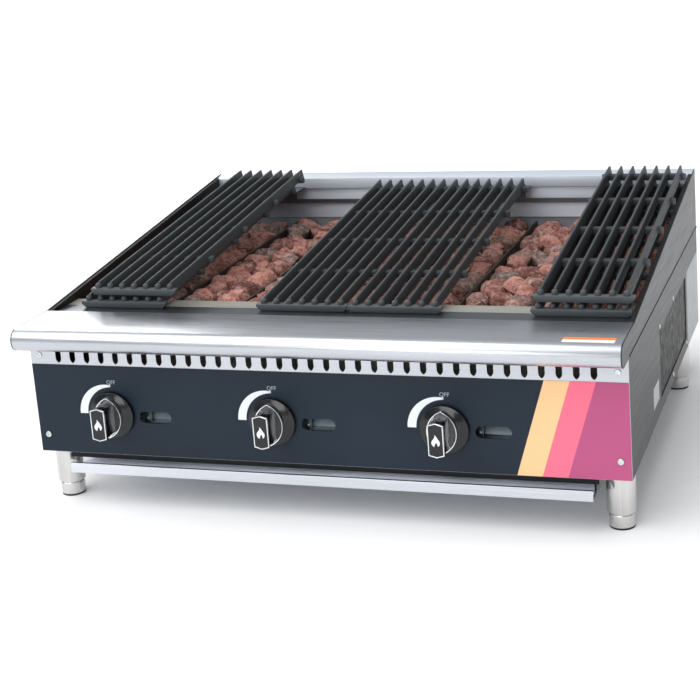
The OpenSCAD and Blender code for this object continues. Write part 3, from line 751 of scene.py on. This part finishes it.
@dataclass
class CastGrate:
    """One cooking grate: seven wedge bars on four ribs and a front bar. Sizes in millimetres."""

    cabinet: Cabinet
    width: float = 145.0
    length: float = 602.0
    height: float = 20.0
    bar_count: int = 7
    pitch: float = 20.5
    foot_width: float = 6.8
    shoulders: tuple[float, float] = (7.0, 11.0)
    blade_width: float = 5.2
    top_width: float = 3.4
    rib: float = 11.0
    rib_height: float = 10.0
    slope: float = 5.4
    knuckle: float = 4.9
    knuckle_drop: float = 4.0
    blade_start: tuple[float, float] = (5.0, 3.0)
    nose_cut: tuple[float, float] = (6.0, -1.5)
    corner_cut: float = 6.0
    rear_inset: float = 10.0

    def wedge_bar(self) -> Workpiece:
        """Shapes one bar: straight foot, tapered blade with a soft crown, and a front that runs down.

        Returns:
            The bar, on the grate's middle line.
        """
        half = self.foot_width / 2
        front, bottom = self.blade_start
        bar = Workpiece.block("wedge_bar", mm(-half, front, bottom), mm(half, self.length, self.height))
        for level in self.shoulders:
            bar.split(mm(0, 0, level), (0, 0, 1))
        for level, wide, narrow in ((self.shoulders[1], self.foot_width, self.blade_width),
                                    (self.height, self.blade_width, self.top_width)):
            bar.squeeze(lambda v: v.co.z > (level - 0.1) * MM, (narrow / wide, 1, 1),
                        mm(0, self.length / 2, self.height))
        bar.move(lambda v: v.co.z > (self.height - 1) * MM and v.co.y < (front + 1) * MM, mm(0, *self.nose_cut))
        return bar.soften(0.7 * MM, 3, 12)

    def cross_rib(self, y: float) -> Workpiece:
        """Shapes one rib under the bars, with round ends that stand out at the sides.

        Args:
            y: Where its front edge lies.

        Returns:
            The rib.
        """
        half = self.width / 2
        rib = Workpiece.block("cross_rib", mm(-half, y, 0), mm(half, y + self.rib, self.rib_height))
        rib.bevel(lambda e: rib.span(e).z > self.rib_height / 2 * MM, self.rib * 0.46 * MM, 5)
        return rib.soften(0.8 * MM, 2, 40)

    def front_bar(self) -> Workpiece:
        """Shapes the front bar, its lower corners cut off at an angle.

        Returns:
            The bar.
        """
        half = self.width / 2
        bar = Workpiece.block("front_bar", mm(-half, 0, 0), mm(half, self.rib, self.rib_height))
        bar.bevel(lambda e: bar.span(e).y > self.rib / 2 * MM and bar.middle(e).z < 1 * MM,
                  self.corner_cut * MM, 1)
        return bar.soften(0.8 * MM, 2, 30)

    def casting(self) -> Workpiece:
        """Puts the whole grate together in its own plane, its front edge at the origin.

        Returns:
            The grate.
        """
        step = (self.length - 3 - self.rib) / 4
        parts = [self.cross_rib(i * step - (self.rear_inset if i == 4 else 0)) for i in range(1, 5)]
        bar = self.wedge_bar()
        knuckle = Workpiece.ball("knuckle", mm(0, 7, 13), self.knuckle * MM, 3)
        knuckle.move(lambda v: v.co.z < 12.8 * MM, mm(0, 0, -self.knuckle_drop))
        for i in range(self.bar_count):
            shift = Matrix.Translation(mm((i - (self.bar_count - 1) / 2) * self.pitch, 0, 0))
            parts += [bar.copy("bar_copy", shift), knuckle.copy("knuckle_copy", shift)]
        discard(bar, knuckle)
        return self.front_bar().join(parts).smooth(38)

    def build(self) -> None:
        """Copies the casting to each of the six places."""
        pattern = self.casting()
        turn = Matrix.Rotation(math.radians(self.slope), 4, "X")
        names = ("left_lower", "left_upper", "center_left", "center_right", "right_lower", "right_upper")
        for name in names:
            node = "grate_" + name
            low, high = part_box(node)
            front = low.y + self.rib_height * MM * math.sin(math.radians(self.slope))
            spot = Matrix.Translation(((low.x + high.x) / 2, front, low.z))
            pattern.copy("cast_" + node, spot @ turn).deliver(self.cabinet.body(node), GRATE_IRON,
                                                              "grate_cast_iron", node)
        discard(pattern)


@dataclass
class LavaBeds:
    """Three heaps of broken lava rock between their dividers. Sizes in millimetres."""

    cabinet: Cabinet
    kinds: int = 9
    pitch: float = 50.0
    nesting: float = 0.86
    smallest: float = 22.5
    largest: float = 31.0
    edge: float = 0.4
    tilt: float = 0.3
    turn: float = 6.28
    scatter: tuple[float, float] = (5.0, 6.0)
    sunk: tuple[float, float] = (0.4, 7.0)
    divider_pitch: float = 116.0
    divider_half: float = 3.0
    wall_gap: float = 1.0

    def stone(self, name: str, dice: random.Random) -> Workpiece:
        """Breaks a ball along random flats, then knocks it out of shape.

        Args:
            name: The stone's name.
            dice: Where the random flats come from.

        Returns:
            A stone that fits a ball of radius 1 m.
        """
        stone = Workpiece.ball(name, Vector(), 1.0, 2)
        for _ in range(dice.randint(4, 6)):
            away = Vector([dice.gauss(0, 1) for _ in range(3)]).normalized()
            stone.split(away * dice.uniform(0.62, 0.85), away, drop=True)
        stone.place(Matrix.Diagonal((1.0, dice.uniform(0.75, 0.95), dice.uniform(0.7, 0.9), 1)))
        seed = dice.randint(1, 999)
        stone.edit(Domain.FACES, every, lambda: bpy.ops.transform.vertex_random(
            offset=0.13, uniform=0.0, normal=0.0, seed=seed))
        reach = max(v.co.length for v in stone.thing.data.vertices)
        return stone.place(Matrix.Scale(1 / reach, 4))

    def settle(self, rock: Workpiece, wanted: Vector, low: Vector, high: Vector) -> None:
        """Moves a stone to a place, or as near to it as keeps the stone between two corners."""
        edge = mm(self.edge, self.edge, self.edge)
        least, most = box_of(rock.thing)
        limits = zip(wanted, low - least + edge, high - most - edge)
        rock.place(Matrix.Translation(Vector(min(max(w, near), far) for w, near, far in limits)))

    def heap(self, bed: str, lanes: Sequence[tuple[float, float]], stones: Sequence[Workpiece],
             dice: random.Random) -> None:
        """Fills the lanes of one bed with stones.

        Args:
            bed: Which bed: left, center or right.
            lanes: Each lane's two sides across, in metres.
            stones: The stones to copy.
            dice: Where the random places come from.
        """
        node = "lava_rocks_" + bed
        low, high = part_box(node)
        parts = []
        for left, right in lanes:
            across = max(2, round((right - left) / (self.pitch * MM)))
            rows = round((high.y - low.y) / (self.pitch * MM * self.nesting))
            for row in range(rows):
                for column in range(across + row % 2):
                    size = dice.uniform(self.smallest, self.largest) * MM
                    turn = (Matrix.Rotation(dice.uniform(-self.tilt, self.tilt), 4, "X")
                            @ Matrix.Rotation(dice.uniform(0, self.turn), 4, "Z"))
                    rock = dice.choice(stones).copy("rock", turn @ Matrix.Scale(size, 4))
                    least, most = box_of(rock.thing)
                    flat = min(1.0, (high.z - low.z - 2 * self.edge * MM) / (most.z - least.z))
                    rock.place(Matrix.Diagonal((1, 1, flat, 1)))
                    reach_x, reach_y = self.scatter
                    x = left + (column + (0.5 if row % 2 == 0 else 0.0)) * (right - left) / across
                    x += dice.uniform(-reach_x, reach_x) * MM
                    y = low.y + (high.y - low.y) * (row + 0.5) / rows + dice.uniform(-reach_y, reach_y) * MM
                    z = high.z - most.z * flat - dice.uniform(*self.sunk) * MM
                    self.settle(rock, Vector((x, y, z)), Vector((left, low.y, low.z)),
                                Vector((right, high.y, high.z)))
                    tone = rock.thing.data.attributes.new("stone_tone", "FLOAT", "POINT")
                    tone.data.foreach_set("value", [dice.random()] * len(rock.thing.data.vertices))
                    parts.append(rock)
        parts[0].join(parts[1:]).smooth(42)
        parts[0].rename("lava_bed_" + bed).deliver(self.cabinet.body(node), LAVA, "lava_rock", node)

    def build(self) -> None:
        """Breaks the stones and fills the three beds."""
        dice = random.Random(SEED)
        stones = [self.stone(f"stone_{i}", dice) for i in range(self.kinds)]
        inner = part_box("right_liner")[0].x - self.wall_gap * MM
        dividers = [k * self.divider_pitch * MM for k in (-2.5, -1.5, -0.5, 0.5, 1.5, 2.5)]
        sides = [-inner, *dividers, inner]
        half = self.divider_half * MM
        lanes = [(a + half, b - half) for a, b in zip(sides, sides[1:])]
        for bed, chosen in (("left", lanes[:2]), ("center", lanes[2:5]), ("right", lanes[5:])):
            self.heap(bed, chosen, stones, dice)
        discard(*stones)


@dataclass
class Knob:
    """A phenolic knob: domed skirt, metallised lens and a tall grip with an outlined face. In millimetres."""

    cabinet: Cabinet
    skirt_r: float = 36.0
    skirt_h: float = 4.6
    face_half: float = 11.6
    face_tall: float = 25.5
    depth: float = 47.0
    rim: float = 1.6
    crown: float = 3.2
    face_crown: float = 3.0
    rings: tuple[tuple[float, float], ...] = ((3.0, 1.3), (5.0, 1.9), (6.0, 1.7), (6.0, 1.2), (6.0, 0.7))
    lens_r: float = 34.0
    lens_shift: float = 12.0

    def skirt(self) -> Workpiece:
        """Draws the round skirt up ring by ring into a low dome.

        Returns:
            The skirt, with its back at the origin.
        """
        skirt = Workpiece.bar("skirt", Vector(), self.skirt_r * MM, self.skirt_h * MM, Axis.Y, 96)
        skirt.place(Matrix.Scale(-1, 4, Vector((0, 1, 0))))
        skirt.edit(Domain.FACES, every, lambda: bpy.ops.mesh.normals_make_consistent(inside=False))
        skirt.bevel(lambda e: skirt.middle(e).y < (0.01 - self.skirt_h) * MM, 1.2 * MM, 4)
        steps = [lambda w=w, h=h: bpy.ops.mesh.inset(thickness=w * MM, depth=h * MM) for w, h in self.rings]
        return skirt.edit(Domain.FACES, lambda f: f.normal.y < -0.99 and f.center.length < 8 * MM, *steps)

    def grip(self, half: float, tall: float, front: float, back: float, crown: float) -> Workpiece:
        """A bar that stands out of the panel, its top and bottom drawn to a blunt point.

        Args:
            half: Half its width.
            tall: Half its height at the point.
            front: How far its face stands out.
            back: Where it starts.
            crown: How far the point stands over its corners.

        Returns:
            The piece.
        """
        grip = Workpiece.block("grip", mm(-half, -front, -tall + crown), mm(half, -back, tall - crown))
        grip.split(Vector(), (1, 0, 0))
        for sign in (-1, 1):
            grip.move(lambda v: abs(v.co.x) < 1e-6 and v.co.z * sign > 0, mm(0, 0, sign * crown))
        return grip

    def lens(self) -> Workpiece:
        """Shapes the raised lens on the skirt, two arcs that meet above and below the grip.

        Returns:
            The lens.
        """
        lens = Workpiece.bar("lens", mm(-self.lens_shift, -17, 0), self.lens_r * MM, 8 * MM, Axis.Y, 96)
        other = Workpiece.bar("lens_other", mm(self.lens_shift, -18, 0), self.lens_r * MM, 10 * MM, Axis.Y, 96)
        lens.modify("BOOLEAN", operation="INTERSECT", object=other.thing, solver="EXACT")
        discard(other)
        lens.edit(Domain.FACES, lambda f: f.normal.y < -0.9,
                  lambda: bpy.ops.mesh.inset(thickness=1.6 * MM, depth=0),
                  lambda: bpy.ops.mesh.inset(thickness=0.8 * MM, depth=-1.6 * MM))
        return lens.soften(0.4 * MM, 2, 40)

    def flame(self) -> Workpiece:
        """Shapes the small flame on the face, a plain drop with a notch.

        Returns:
            The flame.
        """
        drop = Workpiece.bar("flame", mm(0, -self.depth - 0.25, -3), 6 * MM, 0.3 * MM, Axis.Y, 48)
        # Each pull: the height above which points move, how narrow they get and about what x, and the shift.
        for level, narrow, x, middle, by in ((1.5, 0.42, 0, 2, mm(0.3, 0, 3.4)),
                                             (5.6, 0.3, -0.8, 6, mm(-0.5, 0, 2.2))):
            drop.squeeze(lambda v: v.co.z > level * MM, (narrow, 1, 1), mm(x, 0, middle))
            drop.move(lambda v: v.co.z > level * MM, by)
        notch = Workpiece.bar("notch", mm(0.5, -self.depth - 1, -8), 2.6 * MM, 3 * MM, Axis.Y, 24)
        return drop.cut(notch.move(lambda v: v.co.z > -6 * MM, mm(0.4, 0, 2.4)))

    def build(self) -> None:
        """Makes one knob in four pieces and copies it to the three shafts."""
        inside = (self.face_half - self.rim, self.face_tall - self.rim)
        body = self.skirt().join([
            self.grip(self.face_half - 1, self.face_tall - 1, self.depth - 2.2, 6,
                      self.crown).soften(0.6 * MM, 2, 40),
            self.grip(*inside, self.depth - 0.1, 20, self.face_crown),
        ]).smooth(32)
        outline = self.grip(self.face_half, self.face_tall, self.depth, self.depth - 3, self.crown)
        outline.cut(self.grip(*inside, self.depth + 2, self.depth - 5, self.face_crown))
        outline.soften(0.35 * MM, 2, 40).smooth(32)
        lens = self.lens().smooth(32)
        flame = self.flame()
        for side in ("left", "center", "right"):
            node = "knob_" + side
            low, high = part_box(node)
            spot = Matrix.Translation(((low.x + high.x) / 2, high.y, (low.z + high.z) / 2))
            rides = self.cabinet.body(node)
            body.copy(node + "_body", spot).deliver(rides, PHENOLIC, "knob_plastic", node)
            outline.copy(node + "_outline", spot).deliver(rides, CHROME, "plated_steel")
            lens.copy(node + "_lens", spot).deliver(rides, CHROME, "plated_steel")
            flame.copy(node + "_flame", spot).deliver(rides, WHITE_INK, "plain_label")
        discard(body, outline, lens, flame)


@dataclass
class PanelPrint:
    """What is printed on the panel film: a crescent and a word at each knob. Sizes in millimetres."""

    cabinet: Cabinet
    thick: float = 0.12
    outer_r: float = 46.7
    outer_shift: float = -8.3
    inner_r: float = 43.0
    word_size: float = 8.5
    word_rise: float = 48.0

    def crescent(self, name: str, centre: Vector) -> Workpiece:
        """Prints the crescent beside one knob: thin above it and broad at its left.

        Args:
            name: The piece's name.
            centre: The knob's middle, at the face of the print.

        Returns:
            The crescent.
        """
        shape = Workpiece.bar(name, centre + mm(self.outer_shift, 0, 0), self.outer_r * MM, self.thick * MM,
                              Axis.Y, 160)
        shape.cut(Workpiece.bar("inner", centre + mm(1, -1, 0), self.inner_r * MM, 3 * MM, Axis.Y, 160))
        for outward in ((0, 0, -1), (1, 0, 0)):
            shape.split(centre, outward, drop=True)
        tick = Workpiece.block("tick", centre + mm(-1.2, 0, self.inner_r), centre + mm(0.6, self.thick, 47.6))
        return shape.join([tick])

    def word(self, name: str, foot: Vector) -> Workpiece:
        """Prints the word OFF over one knob.

        Args:
            name: The piece's name.
            foot: The middle of the line that the word stands on.

        Returns:
            The word.
        """
        bpy.ops.object.select_all(action="DESELECT")
        bpy.ops.object.text_add(location=foot, rotation=(math.pi / 2, 0, 0))
        text = bpy.context.active_object
        text.data.body = "OFF"
        text.data.size = self.word_size * MM
        text.data.align_x = "CENTER"
        text.data.extrude = self.thick * MM / 2
        text.data.resolution_u = 4
        bpy.ops.object.convert(target="MESH")
        return Workpiece(bpy.context.active_object, name)

    def build(self) -> None:
        """Prints the three crescents and words."""
        for side in ("left", "center", "right"):
            low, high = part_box("knob_" + side)
            x, z = (low.x + high.x) / 2, (low.z + high.z) / 2
            ring = self.crescent("scale_" + side, Vector((x, self.cabinet.face_y - self.thick * MM, z)))
            ring.deliver("cabinet", WHITE_INK, "plain_label")
            foot = Vector((x + 2 * MM, self.cabinet.face_y - self.thick * MM / 2, z + self.word_rise * MM))
            self.word("off_" + side, foot).deliver("cabinet", GREY_INK, "plain_label")


@dataclass
class Screws:
    """Pan-head screws with a cross recess. Sizes in millimetres."""

    cabinet: Cabinet
    panel_r: float = 4.8
    panel_h: float = 2.2
    side_r: float = 3.6
    side_h: float = 1.6

    def head(self, radius: float, height: float) -> Workpiece:
        """Shapes one screw head that faces -Y, with its seat at the origin.

        Args:
            radius: In millimetres.
            height: In millimetres.

        Returns:
            The head.
        """
        head = Workpiece.bar("head", mm(0, -height, 0), radius * MM, height * MM, Axis.Y, 32)
        head.bevel(lambda e: head.middle(e).y < (-height + 0.01) * MM, height * 0.6 * MM, 4)
        for long_x, long_z in ((0.55, 0.13), (0.13, 0.55)):
            head.cut(Workpiece.block("recess", mm(-radius * long_x, -height - 1, -radius * long_z),
                                     mm(radius * long_x, -height * 0.45, radius * long_z)))
        return head.smooth(35)

    def islands(self, node: bpy.types.Object) -> list[tuple[Vector, Vector]]:
        """Finds the box of each separate solid in a CAD node.

        Args:
            node: The CAD node's object.

        Returns:
            Lowest and highest corner of each solid.
        """
        spare = Workpiece.from_node("spare", node)
        select_only(spare.thing)
        bpy.ops.object.mode_set(mode="EDIT")
        bpy.ops.mesh.select_all(action="SELECT")
        bpy.ops.mesh.separate(type="LOOSE")
        bpy.ops.object.mode_set(mode="OBJECT")
        boxes = []
        for thing in list(bpy.context.selected_objects):
            boxes.append(box_of(thing))
            bpy.data.objects.remove(thing)
        return boxes

    def build(self) -> None:
        """Puts a head, turned a little differently each time, at each CAD screw."""
        dice = random.Random(SEED)
        nodes = self.cabinet.frame["nodes"]
        for node, radius, height in (("panel_screws", self.panel_r, self.panel_h),
                                     ("side_screws", self.side_r, self.side_h)):
            pattern = self.head(radius, height)
            heads = []
            for low, high in self.islands(nodes[node]):
                middle = (low + high) / 2
                spin = Matrix.Rotation(dice.uniform(0, 1.5), 4, "Y")
                if node == "panel_screws":
                    spot = Matrix.Translation((middle.x, low.y + height * MM, middle.z)) @ spin
                else:
                    side = 1 if middle.x > 0 else -1
                    outer = high.x if side > 0 else low.x
                    spot = (Matrix.Translation((outer - side * height * MM, middle.y, middle.z))
                            @ Matrix.Rotation(side * math.pi / 2, 4, "Z") @ spin)
                heads.append(pattern.copy("screw_head", spot))
            heads[0].join(heads[1:]).rename("pan_" + node)
            heads[0].deliver("cabinet", ZINC_PLATE, "zinc_screw", node)
            discard(pattern)


@dataclass
class Feet:
    """Levelling feet: turned steel body on a stud, with a rubber pad under it. Sizes in millimetres."""

    cabinet: Cabinet
    radius: float = 18.5
    pad: float = 3.0
    stud_r: float = 5.0
    sleeve: float = 24.0
    gap: float = 0.3
    groove: float = 0.9
    pinch: float = 0.94

    def body(self, height: float, stud_top: float) -> Workpiece:
        """Turns the body with a groove near its top, and its stud.

        Args:
            height: The body's height over the pad.
            stud_top: How high the stud reaches over the floor.

        Returns:
            The body, standing at the origin.
        """
        body = Workpiece.bar("foot_body", mm(0, 0, self.pad), self.radius * MM, height * MM, Axis.Z, 64)
        for level in (self.groove - 0.06, self.groove, self.groove + 0.05):
            body.split(mm(0, 0, self.pad + height * level), (0, 0, 1))
        body.squeeze(lambda v: abs(v.co.z - (self.pad + height * self.groove) * MM) < 0.1 * MM,
                     (self.pinch, self.pinch, 1), mm(0, 0, self.pad))
        stud = Workpiece.bar("stud", mm(0, 0, self.pad + height - 1), self.stud_r * MM,
                             (stud_top - self.pad - height + 1) * MM, Axis.Z, 32)
        return body.soften(0.9 * MM, 3, 25).join([stud]).smooth(35)

    def build(self) -> None:
        """Makes a foot and a pad and copies them under the four legs."""
        stud_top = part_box("foot_front_left")[1].z / MM
        body = self.body(self.sleeve - self.pad - self.gap, stud_top)
        pad = Workpiece.bar("pad", Vector(), (self.radius - 0.4) * MM, self.pad * MM, Axis.Z, 64)
        pad.soften(0.8 * MM, 3).smooth(35)
        for place in ("front_left", "front_right", "rear_left", "rear_right"):
            node = "foot_" + place
            low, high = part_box(node)
            spot = Matrix.Translation(((low.x + high.x) / 2, (low.y + high.y) / 2, low.z))
            rides = self.cabinet.body(node)
            body.copy("turned_" + node, spot).deliver(rides, LEG_STEEL, "leg_stainless", node)
            pad.copy("pad_" + node, spot).deliver(rides, RUBBER, "leg_stainless")
        discard(body, pad)


@dataclass
class Studio:
    """Pale floor, soft boxes and the camera. Lengths in metres; each box is place, width, height, watts."""

    eye: tuple[float, float, float] = (0.79799, -2.36512, 0.92070)
    right: tuple[float, float, float] = (0.94773, 0.31046, -0.07361)
    up: tuple[float, float, float] = (-0.00568, 0.24707, 0.96898)
    forward: tuple[float, float, float] = (-0.31902, 0.91792, -0.23592)
    focal: float = 1567.29 / FRAME
    shift: tuple[float, float] = (-20 / FRAME, -100 / FRAME)
    sensor_mm: float = 36.0
    boxes: tuple[tuple[tuple[float, float, float], float, float, float], ...] = (
        ((-2.2, -2.4, 1.9), 2.0, 1.4, 5.0),
        ((-0.3, -4.7, 1.45), 2.2, 1.3, 36.0),
        ((0.3, -0.6, 3.2), 2.6, 1.6, 8.0),
        ((-3.5, 3.4, 1.7), 2.2, 1.5, 48.0),
    )
    sun_from: tuple[float, float, float] = (-0.42, -0.35, 0.84)
    sun_power: float = 2.3
    sun_width: float = math.radians(70)
    room_low: str = "#A9ADB3"
    room_high: str = "#F0F2F4"
    room_power: float = 0.75

    def camera(self) -> None:
        """Sets the camera up and makes it the scene's."""
        data = bpy.data.cameras.new("view_camera")
        data.sensor_width = self.sensor_mm
        data.lens = self.sensor_mm * self.focal
        data.shift_x, data.shift_y = self.shift
        camera = bpy.data.objects.new("view_camera", data)
        bpy.context.scene.collection.objects.link(camera)
        axes = Matrix((self.right, self.up, -Vector(self.forward))).transposed().to_4x4()
        camera.matrix_world = Matrix.Translation(self.eye) @ axes
        bpy.context.scene.camera = camera

    def floor(self) -> None:
        """Lays the floor, a pale matt sweep with a faint unevenness."""
        bpy.ops.object.select_all(action="DESELECT")
        bpy.ops.mesh.primitive_plane_add(size=60, location=(0, 0, 0))
        floor = bpy.context.active_object
        floor.name = "studio_floor"
        paper = SmoothSkin("white_studio_floor", "#F4F4F4", "#F7F7F7", 0.8, ripple_mm=700.0, relief=0.0)
        floor.data.materials.append(PALETTE.get(paper))

    def lights(self) -> None:
        """Hangs the soft boxes and fills the room with an even grey-white light."""
        for i, (place, wide, tall, power) in enumerate(self.boxes):
            data = bpy.data.lights.new(f"soft_box_{i}", "AREA")
            data.shape, data.size, data.size_y, data.energy = "RECTANGLE", wide, tall, power
            box = bpy.data.objects.new(data.name, data)
            bpy.context.scene.collection.objects.link(box)
            aim = Vector((0, 0, 0.2)) - Vector(place)
            box.matrix_world = Matrix.Translation(place) @ aim.to_track_quat("-Z", "Y").to_matrix().to_4x4()
        data = bpy.data.lights.new("broad_sun", "SUN")
        data.energy, data.angle = self.sun_power, self.sun_width
        sun = bpy.data.objects.new(data.name, data)
        bpy.context.scene.collection.objects.link(sun)
        sun.matrix_world = Vector(self.sun_from).to_track_quat("Z", "Y").to_matrix().to_4x4()
        world = bpy.data.worlds.new("studio_room")
        bpy.context.scene.world = world
        world.use_nodes = True
        tree = world.node_tree
        height = add_node(tree, "SeparateXYZ", {0: add_node(tree, "TexCoord").outputs["Generated"]}).outputs[2]
        level = add_node(tree, "MapRange", {0: height, 1: -0.1, 2: 0.8})
        tone = add_node(tree, "Mix", {0: level, 6: self.room_low, 7: self.room_high}, data_type="RGBA")
        back = tree.nodes["Background"]
        tree.links.new(tone.outputs[2], back.inputs[0])
        back.inputs[1].default_value = self.room_power

    def build(self) -> None:
        """Sets up the camera, the floor and the light."""
        self.camera()
        self.floor()
        self.lights()
        bpy.context.scene.view_settings.view_transform = "Standard"


def dress_nodes(frame: dict) -> None:
    """Gives every carried-over CAD node the procedural finish of its slot.
    """
    for part in frame["record"]["subparts"]:
        node = part["node"]
        thing = frame["nodes"][node]
        material = PALETTE.get(NODE_FINISH.get(node, SLOT_FINISH[part["material_slot"]]))
        if not thing.data.materials:
            thing.data.materials.append(material)
        for slot in thing.material_slots:
            slot.material = material


def main() -> None:
    """Builds the studio and each group of pieces on the frame."""
    logging.basicConfig(level=logging.INFO, format="%(name)s: %(message)s")
    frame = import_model()
    Studio().build()
    dress_nodes(frame)
    cabinet = Cabinet(frame)
    for group in (SheetWork, CastGrate, LavaBeds, Knob, PanelPrint, Screws, Feet):
        group(cabinet).build()


if __name__ == "__main__":
    main()
